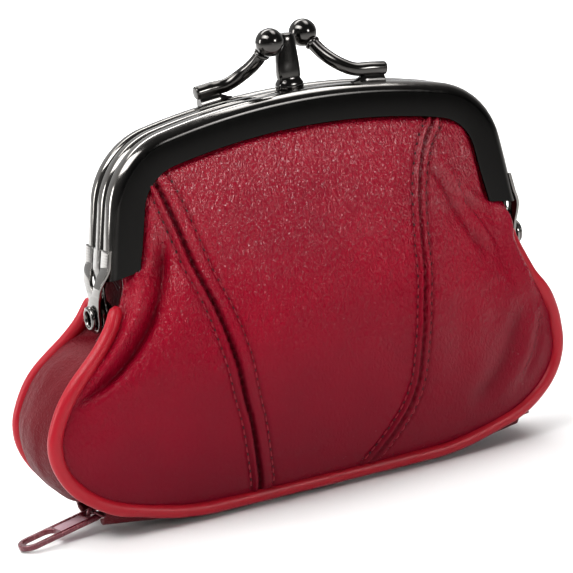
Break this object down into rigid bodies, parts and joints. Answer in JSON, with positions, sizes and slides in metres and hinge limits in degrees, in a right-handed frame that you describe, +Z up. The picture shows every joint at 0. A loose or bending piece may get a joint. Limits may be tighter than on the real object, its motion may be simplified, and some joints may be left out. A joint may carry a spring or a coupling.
{
  "type": "coin purse",
  "caption": "Clasp-top leather coin purse with metal frames on side rivets, a ball-and-post kiss lock, piped gusset and a zip along the bottom",
  "frame": {"origin": "on the surface that the purse stands on, under the middle of its bounding box, zip pull included", "axes": "+X to the right along the frames as seen from the front, -Y out of the front panel, +Z up"},
  "size_m": [0.1252, 0.038, 0.0954],
  "materials": {
    "frame_metal": "polished black nickel",
    "leather": "crimson fine-grained leather, semi-gloss",
    "dark_leather": "darker crimson grained leather",
    "piping": "smooth bright red piping",
    "lining": "dark woven lining",
    "zip_tape": "woven burgundy tape",
    "zip_coil": "burgundy coil",
    "zip_metal": "burgundy paint"
  },
  "bodies": {
    "body": {"middle_frame": "frame_metal", "clasp_post": "frame_metal", "left_rivet": "frame_metal", "right_rivet": "frame_metal", "left_gusset": "dark_leather", "right_gusset": "dark_leather", "zip_stop": "zip_metal", "front_left_panel_lower": "leather", "front_center_panel_lower": "leather", "front_right_panel_lower": "leather", "front_lining": "lining", "front_divider": "lining", "front_piping": "piping", "front_zip_facing": "dark_leather", "front_zip_tape": "zip_tape", "front_zip_coil": "zip_coil", "rear_left_panel_lower": "leather", "rear_center_panel_lower": "leather", "rear_right_panel_lower": "leather", "rear_lining": "lining", "rear_divider": "lining", "rear_piping": "piping", "rear_zip_facing": "dark_leather", "rear_zip_tape": "zip_tape", "rear_zip_coil": "zip_coil"},
    "front": {"front_frame": "frame_metal", "front_clasp_rod": "frame_metal", "front_clasp_ball": "frame_metal", "front_clasp_foot": "frame_metal", "front_left_panel_upper": "leather", "front_center_panel_upper": "leather", "front_right_panel_upper": "leather"},
    "rear": {"rear_frame": "frame_metal", "rear_clasp_rod": "frame_metal", "rear_clasp_ball": "frame_metal", "rear_clasp_foot": "frame_metal", "rear_left_panel_upper": "leather", "rear_center_panel_upper": "leather", "rear_right_panel_upper": "leather"},
    "slider": {"zip_slider": "zip_metal"},
    "pull": {"zip_pull": "zip_metal"}
  },
  "joints": [
    {"name": "front_frame_hinge", "type": "hinge", "parent": "body", "child": "front", "pos_m": [0.00705, -0.00218, 0.0437], "axis": [1, 0, 0], "range_deg": [0, 55]},
    {"name": "rear_frame_hinge", "type": "hinge", "parent": "body", "child": "rear", "pos_m": [0.00705, -0.00218, 0.0437], "axis": [-1, 0, 0], "range_deg": [0, 55]},
    {"name": "zip_travel", "type": "hinge", "parent": "body", "child": "slider", "pos_m": [0.00235, 0.00082, 0.36175], "axis": [0, -1, 0], "range_deg": [0, 13.5]},
    {"name": "zip_pull_hinge", "type": "hinge", "parent": "slider", "child": "pull", "pos_m": [-0.04527, 0.00082, 0.00345], "axis": [0.1219, -0.9925, 0], "range_deg": [0, 80]}
  ]
}
